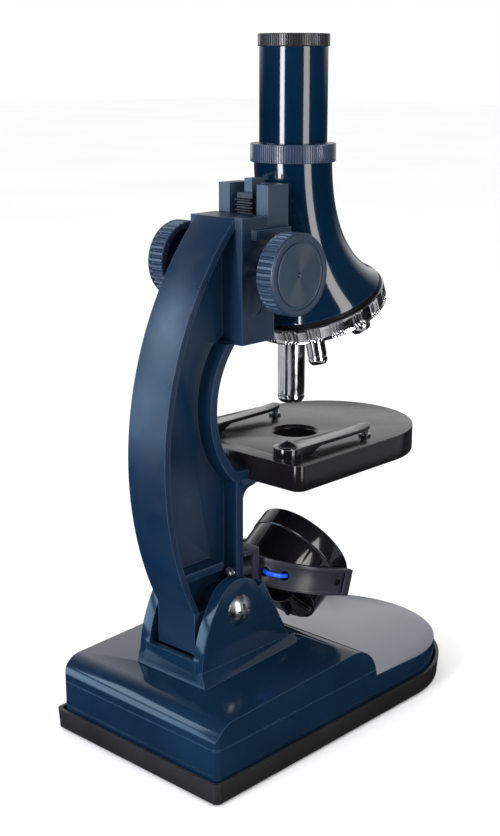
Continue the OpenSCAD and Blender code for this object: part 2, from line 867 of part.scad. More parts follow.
// Bowl-shaped mirror behind the bulb.
module reflector() {
    r = lamp_r - 2.1;
    low = -13;
    neck = 3.6;
    t = 0.6;
    n = 8;
    function bowl_r(s) = neck + (r - 0.9 - neck) * pow(s, 0.55);
    color(chrome) lamp_frame() rotate_extrude() polygon(concat(
        [for (i = [0:n]) [bowl_r(i / n), low + i / n * 10]],
        [[r, -3], [r, -3 - t]],
        [for (i = [n:-1:0]) [bowl_r(i / n) + (i == n ? 0.05 : 0), low + i / n * 10 - t]]));
}

module bulb() {
    color("#fff4d8") lamp_frame() {
        translate([0, 0, -7.5]) sphere(2.6);
        translate([0, 0, -12.5]) cylinder(r = 2.2, h = 4);
    }
}

module bulb_socket() {
    color(steel) lamp_frame() difference() {
        translate([0, 0, -17.6]) cylinder(r = 3.4, h = 6.5);
        translate([0, 0, -12.6]) cylinder(r = 2.2 + snug, h = 4);
    }
}

module lamp_lens() {
    color("#e8eef4", 0.4) lamp_frame() translate([0, 0, -2.2]) cylinder(r = lamp_r - 2.1, h = 1.3);
}

// ---------- head ----------

// Ring t of the head: 0 is the round neck, 1 the tilted skirt above the turret.
function head_ring(t, inset, sides) =
    let (tilt = turret_tilt * pow(t, 2.6), r = neck_r + (skirt_r - neck_r) * pow(t, 3.5) - inset,
        y = tube_y + (skirt_c[1] - tube_y) * pow(t, 1.72), z = head_top - (head_top - skirt_c[2]) * t)
    [for (k = [0:sides - 1]) let (a = 360 * k / sides)
        [r * cos(a), y + r * sin(a) * cos(tilt), z - r * sin(a) * sin(tilt)]];

module head_body() {
    rings = 14;
    inner = 9;
    sides = 48;
    neck_t = (head_top - socket_z) / (head_top - skirt_c[2]);
    pad_w = 12;
    color(navy) difference() {
        union() {
            skin([for (i = [0:rings]) head_ring(1 - i / rings, 0, sides)]);
            translate([-pad_w / 2, 0, 143.5]) cube([pad_w, slide_y[0] - 0.03, 35.5]);
        }
        difference() {
            skin([for (i = [0:inner]) head_ring(1.03 - i / inner * (1.03 - neck_t), head_wall, sides)]);
            turret_frame() {
                translate([0, 0, skirt_gap]) cylinder(r = 5.2, h = 14);
                translate([-1.2, -24, 2]) cube([2.4, 22, 9]);
                translate([-24, -1.2, 2]) cube([48, 2.4, 9]);
            }
        }
        translate([0, tube_y, socket_z]) cylinder(r = tube_r + 0.03, h = 20);
        turret_frame() cylinder(r = pivot_r + snug, h = 13);
        for (z = slide_screw_at[1]) both_sides()
            rod_y(1.05, 4.4, 10, slide_screw_at[0], z);
    }
}

module slide_block() {
    stem_w = 15;
    flange_w = 17.2;
    flange_y = 16.6;
    channel = [11.6, 11];
    post = [3.2, 15.55, 181.4];
    color(navy) difference() {
        union() {
            difference() {
                union() {
                    translate([-slide_w / 2, slide_y[0], slide_split])
                        cube([slide_w, slide_y[1] - slide_y[0], slide_top - slide_split]);
                    translate([-stem_w / 2, slide_y[0], slide_low])
                        cube([stem_w, slide_y[1] - slide_y[0], slide_split - slide_low + 1]);
                    translate([-flange_w / 2, flange_y, slide_low])
                        cube([flange_w, slide_y[1] - flange_y, slide_split - slide_low + 1]);
                }
                translate([-channel[0] / 2, channel[1], slide_low - 1])
                    cube([channel[0], 10, slide_top - slide_low + 2]);
            }
            translate([-post[0] / 2, slide_y[0] + 1, slide_low])
                cube([post[0], post[1] - slide_y[0] - 1, post[2] - slide_low]);
        }
        for (z = slide_screw_at[1]) both_sides() rod_y(1.05, 0, 12, slide_screw_at[0], z);
        for (z = [146, 171]) rod_y(1.02, 12.5, 20, 0, z);
    }
}

module slide_screws() {
    color(steel) for (z = slide_screw_at[1]) both_sides()
        translate([slide_screw_at[0], 11 + gap, z]) rotate([-90, 0, 0]) tapping_screw(1.9, 1.1, 1, 6.2);
}

// Straight rack with trapezoid teeth facing the pinion, and two pegs into the post.
module rack() {
    low = 140;
    high = 177;
    root = rack_y - 0.6;
    back = 15.6;
    first = ceil((low - shaft_z) / rack_pitch + 0.5);
    last = floor((high - shaft_z) / rack_pitch - 0.5);
    color(black) {
        centred(rack_w) {
            translate([back, low]) square([root - back, high - low]);
            for (i = [first:last]) translate([0, shaft_z + i * rack_pitch])
                polygon([[root - 0.1, -0.5], [root, -0.5], [rack_y, -0.33], [rack_y + 0.5, -0.16],
                    [rack_y + 0.5, 0.16], [rack_y, 0.33], [root, 0.5], [root - 0.1, 0.5]]);
        }
        for (z = [146, 171]) rod_y(1, 13, back + 0.2, 0, z);
    }
}

// Plate that closes the skirt; the turret turns against it.
module turret_seat() {
    h = skirt_gap - 0.02 - gap;
    color(black) turret_frame() difference() {
        translate([0, 0, gap]) cylinder(r = 22, h = h);
        cylinder(r = pivot_r + run, h = 4);
        translate([0, 12.6, -1]) cylinder(r = 4.6, h = 4);
        translate([-6.2, -21.6, 0]) cube([12.4, 2.4, 0.75]);
    }
}

// Leaf spring with a bump that drops into the turret's click groove.
module click_spring() {
    color(steel) turret_frame() {
        translate([-6, -21.4, 0.2]) cube([12, 2, 0.5]);
        translate([0, -click_r, 0]) intersection() {
            translate([0, 0, 0.6]) sphere(0.9);
            translate([0, 0, -0.3]) cylinder(r = 0.95, h = 0.7);
        }
    }
}

module neck_ring() {
    low = 185.45;
    high = 191.3;
    color(navy) translate([0, tube_y, 0]) difference() {
        translate([0, 0, low]) cylinder(r = ring_r, h = high - low);
        translate([0, 0, low - 1]) cylinder(r = tube_r + 0.03, h = 10);
        translate([0, 0, low - 1]) cylinder(r = neck_r + 0.1, h = head_top + gap - low + 1);
    }
}

tube_top = total_h - 3.95;
barrel_r = 9.3;

module draw_tube() {
    color(navy) translate([0, tube_y, 0]) difference() {
        translate([0, 0, socket_z + gap]) cylinder(r = tube_r, h = tube_top - socket_z - gap);
        translate([0, 0, socket_z - 1]) cylinder(r = barrel_r + run, h = 60);
    }
}

module turret_screw() {
    color(chrome) turret_frame() {
        translate([0, 0, -turret_t - gap]) cylinder(r = pivot_r, h = turret_t + 12);
        translate([0, 0, -turret_t - gap]) mirror([0, 0, 1]) pan_head(4.2, 1.8);
    }
}

module eyepiece_cap() {
    low = tube_top + gap;
    color(black) translate([0, tube_y, 0]) difference() {
        translate([0, 0, low]) cylinder(r = cap_r, h = total_h - low);
        translate([0, 0, low - 1]) cylinder(r = 4.2, h = 10);
        translate([0, 0, total_h - 2]) cylinder(r1 = 4.2, r2 = 8.8, h = 2.01);
        translate([0, 0, low - 1]) cylinder(r = 7.2, h = 2);
    }
}

module eyepiece_barrel() {
    low = tube_top - 16;
    color(black) translate([0, tube_y, 0]) difference() {
        translate([0, 0, low]) cylinder(r = barrel_r, h = tube_top - low);
        translate([0, 0, low + 2.5]) cylinder(r = 7.2, h = 30);
        translate([0, 0, low - 1]) cylinder(r = 6.4, h = 30);
    }
}

module eyepiece_lenses() {
    color("#dfeaf2", 0.5) translate([0, tube_y, 0]) {
        translate([0, 0, tube_top - 1.6]) lens(6.9, 2.6);
        translate([0, 0, tube_top - 11.8]) lens(7.1, 2.8);
    }
}

// ---------- turret ----------

module turret_disc() {
    color(chrome) difference() {
        turret_frame() difference() {
            translate([0, 0, -turret_t]) cylinder(r = turret_r, h = turret_t);
            translate([0, 0, -turret_t - 1]) cylinder(r = pivot_r + run, h = 20);
            rotate_extrude() translate([click_r, 0]) circle(0.9);
        }
        for (i = [0:2]) objective_frame(i) translate([0, 0, -46]) {
            cylinder(r = objective_r[i] + snug, h = 46 - barrel_top + gap);
            cylinder(r = objective_r[i] - shank_step + snug, h = 16);
        }
    }
}

// Barrel of objective i, with a small collar under the disc, a bevelled tip and a lens seat.
module objective(i) {
    r = objective_r[i];
    tip = objective_tip[i];
    collar = 42.6;
    bevel = 1.4;
    color(chrome) objective_frame(i) difference() {
        union() {
            translate([0, 0, bevel - tip]) cylinder(r = r, h = tip - bevel - barrel_top);
            translate([0, 0, -barrel_top - 1])
                cylinder(r = r - shank_step, h = barrel_top + 1 - objective_root);
            translate([0, 0, -tip]) cylinder(r1 = r - 1, r2 = r, h = bevel);
            translate([0, 0, -collar - 0.9]) cylinder(r = r + 0.25, h = 0.9);
        }
        translate([0, 0, -tip - 1]) cylinder(r = 1, h = 40);
        translate([0, 0, 2.6 - tip]) cylinder(r = r - 0.9, h = 40);
    }
}

module objective_long() {
    objective(0);
}

module objective_medium() {
    objective(1);
}

module objective_short() {
    objective(2);
}

module objective_lenses() {
    color("#dfeaf2", 0.5) for (i = [0:2]) objective_frame(i)
        translate([0, 0, 3.6 - objective_tip[i]]) lens(objective_r[i] - 1, 1.6);
}

// ---------- focus ----------

module pinion_shaft() {
    end = knob_span / 2 - 2.2;
    color(steel) rod_x(shaft_r, -end, end, shaft_y, shaft_z);
}

module pinion() {
    tip = pitch_r + 0.45;
    root = pitch_r - 0.65;
    step = 360 / pinion_teeth;
    function at(r, a) = [r * cos(a), r * sin(a)];
    color(steel) difference() {
        translate([0, shaft_y, shaft_z]) centred(6.4) {
            circle(root);
            for (k = [0:pinion_teeth - 1]) rotate(180 + step * (k + 0.5))
                polygon([at(root - 0.3, -8), at(root, -7.6), at(pitch_r, -5.2), at(tip, -2),
                    at(tip, 2), at(pitch_r, 5.2), at(root, 7.6), at(root - 0.3, 8)]);
        }
        rod_x(shaft_r + snug, -10, 10, shaft_y, shaft_z);
    }
}

// Focus knob on the +X side: ribbed rim, grooved face, hollow back and a hub on the shaft.
module knob() {
    face = knob_span / 2;
    back = face - knob_w;
    hub = housing_w / 2 + 2.1;
    color(navy) difference() {
        union() {
            rod_x(knob_r, back, face, shaft_y, shaft_z);
            rod_x(4, hub, face - 1, shaft_y, shaft_z);
        }
        difference() {
            rod_x(10.4, back - 1, face - 2, shaft_y, shaft_z);
            rod_x(4, back - 2, face, shaft_y, shaft_z);
        }
        difference() {
            rod_x(10.2, face - 0.5, face + 1, shaft_y, shaft_z);
            rod_x(9.5, face - 1, face + 2, shaft_y, shaft_z);
        }
        rod_x(shaft_r + snug, 0, face - 2, shaft_y, shaft_z);
    }
}

module knob_right() {
    knob();
}

module knob_left() {
    mirror([1, 0, 0]) knob();
}

base_tray();
base_cover();
battery_door();
door_screw();
batteries();
contact_plates();
contact_springs();
rubber_feet();
case_screws();
hinge_screw();
hinge_nut();
arm_frame();
hinge_washers();
stage();
stage_screws();
clip_rivets();
yoke();
yoke_screws();
pivot_pins();
lamp_wire();
stage_clip_left();
stage_clip_right();
lamp_cup();
lamp_rim();
reflector();
bulb();
bulb_socket();
lamp_lens();
head_body();
slide_block();
slide_screws();
rack();
turret_seat();
click_spring();
neck_ring();
draw_tube();
turret_screw();
eyepiece_cap();
eyepiece_barrel();
eyepiece_lenses();
turret_disc();
objective_long();
objective_medium();
objective_short();
objective_lenses();
pinion_shaft();
pinion();
knob_left();
knob_right();
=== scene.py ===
import json
import math

import bmesh
import bpy
from mathutils import Matrix, Vector

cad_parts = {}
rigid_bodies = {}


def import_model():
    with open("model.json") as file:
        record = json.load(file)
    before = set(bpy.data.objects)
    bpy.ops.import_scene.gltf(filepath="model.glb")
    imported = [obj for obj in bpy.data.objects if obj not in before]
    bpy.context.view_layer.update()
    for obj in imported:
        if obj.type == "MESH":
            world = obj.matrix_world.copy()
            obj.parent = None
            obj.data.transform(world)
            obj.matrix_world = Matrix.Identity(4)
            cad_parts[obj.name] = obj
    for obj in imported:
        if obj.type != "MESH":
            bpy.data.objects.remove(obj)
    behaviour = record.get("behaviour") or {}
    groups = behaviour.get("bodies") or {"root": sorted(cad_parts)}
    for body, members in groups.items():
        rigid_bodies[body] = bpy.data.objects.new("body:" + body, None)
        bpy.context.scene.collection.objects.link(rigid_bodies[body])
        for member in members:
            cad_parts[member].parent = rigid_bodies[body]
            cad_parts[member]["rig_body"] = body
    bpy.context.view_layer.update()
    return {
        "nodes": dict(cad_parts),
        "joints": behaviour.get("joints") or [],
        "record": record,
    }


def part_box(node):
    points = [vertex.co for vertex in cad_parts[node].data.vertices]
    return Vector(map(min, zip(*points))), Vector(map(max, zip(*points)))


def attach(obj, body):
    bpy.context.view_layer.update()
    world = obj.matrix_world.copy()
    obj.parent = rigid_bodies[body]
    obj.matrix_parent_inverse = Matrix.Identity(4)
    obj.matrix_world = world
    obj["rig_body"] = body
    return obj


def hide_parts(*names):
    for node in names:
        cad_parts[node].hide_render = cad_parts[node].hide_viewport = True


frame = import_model()
NODES = frame["nodes"]
JOINTS = {j["name"]: j for j in frame["joints"]}
MM = 0.001
TAU = 2 * math.pi


# ---------- camera ----------

# Place in metres, angle below the horizon and heading in radians, lens and film width in mm
CAMERA_PLACE = Vector((-0.28747, 0.32295, 0.21584))
CAMERA_DOWN = 0.25954
CAMERA_YAW = -2.3911
CAMERA_LENS = 57.48
CAMERA_FILM = 36


def add_camera():
    data = bpy.data.cameras.new("camera")
    data.sensor_width = CAMERA_FILM
    data.lens = CAMERA_LENS
    camera = bpy.data.objects.new("camera", data)
    camera.location = CAMERA_PLACE
    camera.rotation_euler = (math.pi / 2 - CAMERA_DOWN, 0, CAMERA_YAW)
    bpy.context.scene.collection.objects.link(camera)
    bpy.context.scene.camera = camera


add_camera()
bpy.context.scene.view_settings.view_transform = "Standard"


# ---------- materials ----------

# Width of the rubbed wear and painted highlight along edges, in metres
EDGE_WIDTH = 0.0005


class Graph:
    """A small helper that adds and joins shader nodes."""

    def __init__(self, material):
        material.use_nodes = True
        self.tree = material.node_tree
        self.tree.nodes.clear()
        self.place = self.add("ShaderNodeTexCoord").outputs["Object"]

    def add(self, kind, **values):
        node = self.tree.nodes.new(kind)
        for key, value in values.items():
            setattr(node, key, value)
        return node

    def link(self, source, target):
        self.tree.links.new(source, target)

    def noise(self, scale, detail=3.0, stretch=(1, 1, 1)):
        """Noise from 0 to 1; scale is in bumps per metre."""
        mapping = self.add("ShaderNodeMapping")
        mapping.inputs["Scale"].default_value = stretch
        self.link(self.place, mapping.inputs["Vector"])
        node = self.add("ShaderNodeTexNoise")
        node.inputs["Scale"].default_value = scale
        node.inputs["Detail"].default_value = detail
        self.link(mapping.outputs["Vector"], node.inputs["Vector"])
        return node.outputs["Fac"]

    def spread(self, source, low, high, start=0.3, end=0.7):
        """Maps source from start..end to low..high."""
        node = self.add("ShaderNodeMapRange")
        node.inputs["From Min"].default_value = start
        node.inputs["From Max"].default_value = end
        node.inputs["To Min"].default_value = low
        node.inputs["To Max"].default_value = high
        self.link(source, node.inputs["Value"])
        return node.outputs["Result"]

    def mix(self, factor, a, b):
        """Blends colour a into b; a and b are sockets or colours."""
        node = self.add("ShaderNodeMix", data_type="RGBA")
        self.link(factor, node.inputs["Factor"])
        for value, target in ((a, node.inputs[6]), (b, node.inputs[7])):
            if isinstance(value, tuple):
                target.default_value = (*value, 1)
            else:
                self.link(value, target)
        return node.outputs[2]

    def edges(self, width):
        """1 along edges narrower than width, 0 on open faces."""
        bevel = self.add("ShaderNodeBevel", samples=4)
        bevel.inputs["Radius"].default_value = width
        geometry = self.add("ShaderNodeNewGeometry")
        dot = self.add("ShaderNodeVectorMath", operation="DOT_PRODUCT")
        self.link(bevel.outputs["Normal"], dot.inputs[0])
        self.link(geometry.outputs["Normal"], dot.inputs[1])
        return self.spread(dot.outputs["Value"], 0, 1, 0.995, 0.93)


def add_surface(g, shader):
    """Ends a material's graph with its shader."""
    out = g.add("ShaderNodeOutputMaterial")
    g.link(shader.outputs[0], out.inputs["Surface"])


def worn_and_highlit_edges(g, base, edge_wear_and_highlight):
    """Colours patches along the piece's edges with the edge colour, base elsewhere; the edge colour is
    partly rubbed wear and partly a painted highlight where light would catch the edges.
    """
    wear_and_highlight_mask = g.add("ShaderNodeMath", operation="MULTIPLY")
    g.link(g.edges(EDGE_WIDTH), wear_and_highlight_mask.inputs[0])
    g.link(g.spread(g.noise(420, 4), 0.35, 1.0), wear_and_highlight_mask.inputs[1])
    return g.mix(wear_and_highlight_mask.outputs[0], base, edge_wear_and_highlight)


def plastic(name, colour, rough, grain=0.00002, grain_scale=2600, shade=0.25, edge_wear_and_highlight=None,
            specular=0.5, coat=0.0, waves=0.0, turned=0.0):
    """Moulded plastic: uneven colour, fingerprints in the gloss, fine grain, and edges lightened
    partly by rubbed wear and partly by a painted highlight.
    grain and waves are bump heights in metres, shade is how uneven the colour is, and turned is
    how strongly fine circular turning about X stretches the gloss."""
    material = bpy.data.materials.new(name)
    g = Graph(material)
    shader = g.add("ShaderNodeBsdfPrincipled")
    dark = tuple(c * (1 - shade) for c in colour)
    light = tuple(c * (1 + shade) for c in colour)
    base = g.mix(g.spread(g.noise(38, 4), 0, 1), dark, light)
    if edge_wear_and_highlight:
        base = worn_and_highlit_edges(g, base, edge_wear_and_highlight)
    g.link(base, shader.inputs["Base Color"])
    g.link(g.spread(g.noise(90, 6), rough * 0.8, rough * 1.25), shader.inputs["Roughness"])
    shader.inputs["Specular IOR Level"].default_value = specular
    if turned:
        around = g.add("ShaderNodeTangent", direction_type="RADIAL", axis="X")
        shader.inputs["Anisotropic"].default_value = turned
        g.link(around.outputs["Tangent"], shader.inputs["Tangent"])
    shader.inputs["Coat Weight"].default_value = coat
    shader.inputs["Coat Roughness"].default_value = 0.04
    fine = g.add("ShaderNodeBump")
    fine.inputs["Distance"].default_value = grain
    fine.inputs["Strength"].default_value = 0.6
    g.link(g.noise(grain_scale, 2), fine.inputs["Height"])
    if waves:
        slow = g.add("ShaderNodeBump")
        slow.inputs["Distance"].default_value = waves
        slow.inputs["Strength"].default_value = 0.5
        g.link(g.noise(70, 2, (1, 1, 0.45)), slow.inputs["Height"])
        g.link(slow.outputs["Normal"], fine.inputs["Normal"])
    g.link(fine.outputs["Normal"], shader.inputs["Normal"])
    add_surface(g, shader)
    return material


def metal(name, colour, rough, scratch, stretch=(1, 1, 1)):
    """Plated or bare metal with faint scratches, scratch metres deep, and uneven gloss."""
    material = bpy.data.materials.new(name)
    g = Graph(material)
    shader = g.add("ShaderNodeBsdfPrincipled")
    shader.inputs["Metallic"].default_value = 1.0
    dark = tuple(c * 0.86 for c in colour)
    g.link(g.mix(g.spread(g.noise(150, 4), 0, 1), dark, colour), shader.inputs["Base Color"])
    g.link(g.spread(g.noise(300, 5), rough * 0.6, rough * 1.5), shader.inputs["Roughness"])
    bump = g.add("ShaderNodeBump")
    bump.inputs["Distance"].default_value = scratch
    g.link(g.noise(900, 4, stretch), bump.inputs["Height"])
    g.link(bump.outputs["Normal"], shader.inputs["Normal"])
    add_surface(g, shader)
    return material


def glass(name, colour, rough=0.02, ior=1.49):
    """Clear glass or acrylic with a little haze."""
    material = bpy.data.materials.new(name)
    g = Graph(material)
    shader = g.add("ShaderNodeBsdfPrincipled")
    g.link(g.mix(g.spread(g.noise(220, 3), 0, 1), tuple(c * 0.96 for c in colour), colour),
           shader.inputs["Base Color"])
    shader.inputs["Transmission Weight"].default_value = 1
    shader.inputs["IOR"].default_value = ior
    g.link(g.spread(g.noise(500, 4), rough * 0.5, rough * 2), shader.inputs["Roughness"])
    add_surface(g, shader)
    return material


# Each edge colour below lightens the edges partly as rubbed wear and partly as a painted highlight.
LOOKS = {
    "navy_gloss": plastic("navy_gloss_plastic", (0.0006, 0.0085, 0.023), 0.11, grain=0.0000004,
                          grain_scale=1500, shade=0.18, edge_wear_and_highlight=(0.01, 0.03, 0.07), coat=0.5),
    "navy_satin": plastic("navy_satin_plastic", (0.009, 0.021, 0.045), 0.38, grain=0.00002,
                          shade=0.15, edge_wear_and_highlight=(0.03, 0.07, 0.13), specular=0.7),
    # Lighter than the other navy parts: the knurled ring's base colour is painted sheen standing in
    # for part of the light its grooves catch.
    "navy_knurl_painted_sheen": plastic("navy_knurl_painted_sheen_plastic", (0.026, 0.040, 0.076), 0.24, grain=0.000004,
                          shade=0.12, specular=0.8),
    "navy_turned": plastic("navy_turned_plastic", (0.008, 0.020, 0.040), 0.34, grain=0.000004,
                           shade=0.12, specular=0.9, turned=0.85),
    "navy_cover": plastic("navy_cover_plastic", (0.0035, 0.013, 0.030), 0.13, grain=0.000002,
                          shade=0.2, edge_wear_and_highlight=(0.025, 0.055, 0.10)),
    "navy_plate": plastic("navy_plate_plastic", (0.001, 0.011, 0.045), 0.11, grain=0.000002,
                          shade=0.1, coat=0.55),
    "navy_arm": plastic("navy_arm_plastic", (0.0015, 0.0125, 0.034), 0.33, grain=0.000008,
                        shade=0.2, edge_wear_and_highlight=(0.03, 0.06, 0.11), waves=0.00006),
    "black_satin": plastic("black_satin_plastic", (0.0035, 0.0033, 0.0036), 0.34, grain=0.00003,
                           shade=0.25, edge_wear_and_highlight=(0.02, 0.02, 0.022)),
    "black_knurl": plastic("black_knurl_plastic", (0.017, 0.017, 0.019), 0.26, grain=0.000004,
                           shade=0.15, specular=0.8),
    "black_gloss": plastic("black_gloss_plastic", (0.004, 0.004, 0.005), 0.12, grain=0.000006,
                           grain_scale=1500, shade=0.2, edge_wear_and_highlight=(0.07, 0.07, 0.08), coat=0.4),
    "stage_black": plastic("stage_black_plastic", (0.0045, 0.0037, 0.0042), 0.2, grain=0.00003,
                           grain_scale=3200, shade=0.2, edge_wear_and_highlight=(0.05, 0.047, 0.05)),
    "tray_black": plastic("tray_black_plastic", (0.011, 0.011, 0.0115), 0.42, grain=0.00002,
                          shade=0.2, edge_wear_and_highlight=(0.025, 0.025, 0.028)),
    "slate_satin": plastic("slate_plastic", (0.014, 0.0145, 0.024), 0.38, grain=0.00003,
                           shade=0.2, edge_wear_and_highlight=(0.05, 0.05, 0.07)),
    "chrome": metal("chrome_plate", (0.80, 0.82, 0.86), 0.15, scratch=0.000001),
    "steel": metal("zinc_steel", (0.55, 0.56, 0.58), 0.28, 0.00001, (1, 1, 12)),
    "rubber": plastic("foot_rubber", (0.012, 0.012, 0.012), 0.75, grain=0.00006, shade=0.3),
    "wire_blue": plastic("wire_insulation", (0.012, 0.09, 0.75), 0.25, grain=0.00001, shade=0.08),
    "clear": glass("clear_plastic", (0.93, 0.96, 0.98)),
    "bulb_glass": glass("bulb_glass", (1.0, 0.93, 0.80), 0.01, 1.45),
    "battery_wrap": plastic("battery_film", (0.52, 0.25, 0.04), 0.3, grain=0.00001, shade=0.1),
}


# ---------- mesh tools ----------

# Pieces that the floor card lights, and pieces that the fill lights light
PLATED = bpy.data.collections.new("plated_parts")
SATIN = bpy.data.collections.new("parts_outside_the_tube")


def slot_of(node):
    return next(s["material_slot"] for s in frame["record"]["subparts"] if s["node"] == node)


def piece(name, bm, node, look, smooth=32, second=None, where=None):
    """Turns a bmesh into a piece that rides and stands for a CAD node.
    Faces for which where(centre, normal) is true get the second look."""
    bmesh.ops.recalc_face_normals(bm, faces=bm.faces)
    mesh = bpy.data.meshes.new(name)
    bm.to_mesh(mesh)
    bm.free()
    mesh.shade_smooth()
    mesh.set_sharp_from_angle(angle=math.radians(smooth))
    obj = bpy.data.objects.new(name, mesh)
    bpy.context.scene.collection.objects.link(obj)
    mesh.materials.append(LOOKS[look])
    if second:
        mesh.materials.append(LOOKS[second])
        for face in mesh.polygons:
            face.material_index = int(where(face.center, face.normal))
    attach(obj, NODES[node]["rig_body"])
    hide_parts(node)
    if look == "chrome":
        PLATED.objects.link(obj)
    if look not in ("navy_gloss", "chrome"):
        SATIN.objects.link(obj)


def copy_of(node):
    """The CAD node's shape as a clean bmesh with its flat faces joined."""
    bm = bmesh.new()
    bm.from_mesh(NODES[node].data)
    bmesh.ops.remove_doubles(bm, verts=bm.verts, dist=2e-6)
    bmesh.ops.dissolve_limit(bm, angle_limit=math.radians(0.4), verts=bm.verts, edges=bm.edges,
                             use_dissolve_boundaries=False)
    return bm


def softened(node, name, look, width, shape=None, **extra):
    """The CAD node with its sharp edges rounded over width millimetres; shape moves its points."""
    bm = copy_of(node)
    sharp = [e for e in bm.edges if len(e.link_faces) == 2
             and e.calc_face_angle(0) > math.radians(28)]
    bmesh.ops.bevel(bm, geom=sharp, offset=width * MM, offset_type="OFFSET", segments=2,
                    profile=0.6, affect="EDGES", clamp_overlap=True, miter_outer="ARC")
    if shape:
        for vert in bm.verts:
            vert.co = shape(vert.co)
    piece(name, bm, node, look, **extra)


# ---------- floor and light ----------


def add_sheet(name, centre, half, material):
    """A level square sheet that belongs to the studio."""
    bm = bmesh.new()
    bm.faces.new([bm.verts.new((centre[0] + x * half, centre[1] + y * half, centre[2]))
                  for x, y in ((-1, -1), (1, -1), (1, 1), (-1, 1))])
    mesh = bpy.data.meshes.new(name)
    bm.to_mesh(mesh)
    bm.free()
    mesh.materials.append(material)
    sheet = bpy.data.objects.new(name, mesh)
    bpy.context.scene.collection.objects.link(sheet)
    return sheet


def pale_floor():
    material = bpy.data.materials.new("pale_floor")
    g = Graph(material)
    shader = g.add("ShaderNodeBsdfPrincipled")
    g.link(g.mix(g.spread(g.noise(3, 2), 0, 1), (0.92, 0.92, 0.92), (0.94, 0.94, 0.94)),
           shader.inputs["Base Color"])
    shader.inputs["Roughness"].default_value = 0.9
    shader.inputs["Specular IOR Level"].default_value = 0.1
    add_surface(g, shader)
    return material


def reflector_card():
    """White card with soft dark patches, for the plated parts to reflect."""
    material = bpy.data.materials.new("reflector_card")
    g = Graph(material)
    glow = g.add("ShaderNodeEmission")
    g.link(g.spread(g.noise(14, 1), 0.2, 0.8, 0.38, 0.62), glow.inputs["Strength"])
    add_surface(g, glow)
    return material


def add_studio():
    """The floor, and a card under it that only the plated parts reflect."""
    floor = add_sheet("floor", (0, 0, 0), 6.0, pale_floor())
    floor.visible_glossy = False
    card = add_sheet("card", (0.16, 0.20, -0.0005), 0.36, reflector_card())
    for ray in ("camera", "diffuse", "shadow", "transmission"):
        setattr(card, "visible_" + ray, False)
    card.light_linking.receiver_collection = PLATED


def add_softbox(name, angle, distance, height, width, tall, power, colour, only=None):
    """A standing softbox at angle degrees from +X, facing the tube's axis.
    If only is a collection, it lights nothing else."""
    data = bpy.data.lights.new(name, "AREA")
    data.shape = "RECTANGLE"
    data.size = width
    data.size_y = tall
    data.energy = power
    data.color = colour
    light = bpy.data.objects.new(name, data)
    a = math.radians(angle)
    light.location = (distance * math.cos(a), distance * math.sin(a), height)
    target = Vector((0, 0, height * 0.98))
    light.rotation_euler = (target - light.location).to_track_quat("-Z", "Y").to_euler()
    light.visible_camera = False
    if only:
        light.light_linking.receiver_collection = only
    bpy.context.scene.collection.objects.link(light)


def smooth_step(tree, value, start, end, low, high):
    """Shader node that rises smoothly from low to high as value goes from start to end."""
    node = tree.nodes.new("ShaderNodeMapRange")
    node.interpolation_type = "SMOOTHSTEP"
    node.inputs["From Min"].default_value = start
    node.inputs["From Max"].default_value = end
    node.inputs["To Min"].default_value = low
    node.inputs["To Max"].default_value = high
    tree.links.new(value, node.inputs["Value"])
    return node.outputs["Result"]


def choose(tree, switch, off, on):
    """Value off, or on where switch is 1; each is a number or a socket."""
    node = tree.nodes.new("ShaderNodeMix")
    node.data_type = "FLOAT"
    tree.links.new(switch, node.inputs[0])
    for value, target in ((off, node.inputs[2]), (on, node.inputs[3])):
        if isinstance(value, float):
            target.default_value = value
        else:
            tree.links.new(value, target)
    return node.outputs[0]


def add_world():
    """White room to look at; for reflections it is white only high up beyond the nose."""
    world = bpy.data.worlds.new("room")
    bpy.context.scene.world = world
    world.use_nodes = True
    tree = world.node_tree
    tree.nodes.clear()
    way = tree.nodes.new("ShaderNodeTexCoord").outputs["Generated"]
    dot = tree.nodes.new("ShaderNodeVectorMath")
    dot.operation = "DOT_PRODUCT"
    tree.links.new(way, dot.inputs[0])
    away = (Vector((0, 0, 0.1)) - CAMERA_PLACE).normalized()
    dot.inputs[1].default_value = (away.x, away.y, 0)
    beyond = smooth_step(tree, dot.outputs["Value"], 0.35, 0.9, 0.03, 0.95)
    split = tree.nodes.new("ShaderNodeSeparateXYZ")
    tree.links.new(way, split.inputs[0])
    above = smooth_step(tree, split.outputs["Z"], -0.03, 0.16, 0.06, 1)
    both = tree.nodes.new("ShaderNodeMath")
    both.operation = "MULTIPLY"
    tree.links.new(beyond, both.inputs[0])
    tree.links.new(above, both.inputs[1])
    rays = tree.nodes.new("ShaderNodeLightPath")
    lit = choose(tree, rays.outputs["Is Glossy Ray"], 1.08, both.outputs[0])
    seen = choose(tree, rays.outputs["Is Camera Ray"], lit, 1.0)
    back = tree.nodes.new("ShaderNodeBackground")
    back.inputs["Color"].default_value = (1, 1, 1, 1)
    tree.links.new(seen, back.inputs["Strength"])
    out = tree.nodes.new("ShaderNodeOutputWorld")
    tree.links.new(back.outputs["Background"], out.inputs["Surface"])


add_studio()
add_world()
# Name, angle, distance and height of the middle, width and height of the light, power and colour
add_softbox("key_strip", 93.6, 0.62, 0.22, 0.16, 0.62, 4.9, (0.90, 0.92, 1.0))
add_softbox("side_strip", 175.3, 0.62, 0.22, 0.22, 0.62, 2.3, (1.0, 0.98, 0.93))
add_softbox("rear_fill", 47.0, 0.80, 0.46, 0.50, 0.34, 2.6, (0.58, 0.78, 1.0), SATIN)
add_softbox("rear_low_fill", 47.0, 0.80, 0.02, 0.50, 0.40, 2.6, (0.50, 0.73, 1.0), SATIN)
add_softbox("nose_fill", 228.0, 0.80, 0.08, 0.60, 0.60, 0.5, (0.85, 0.93, 1.0), SATIN)


# ---------- shape tools ----------


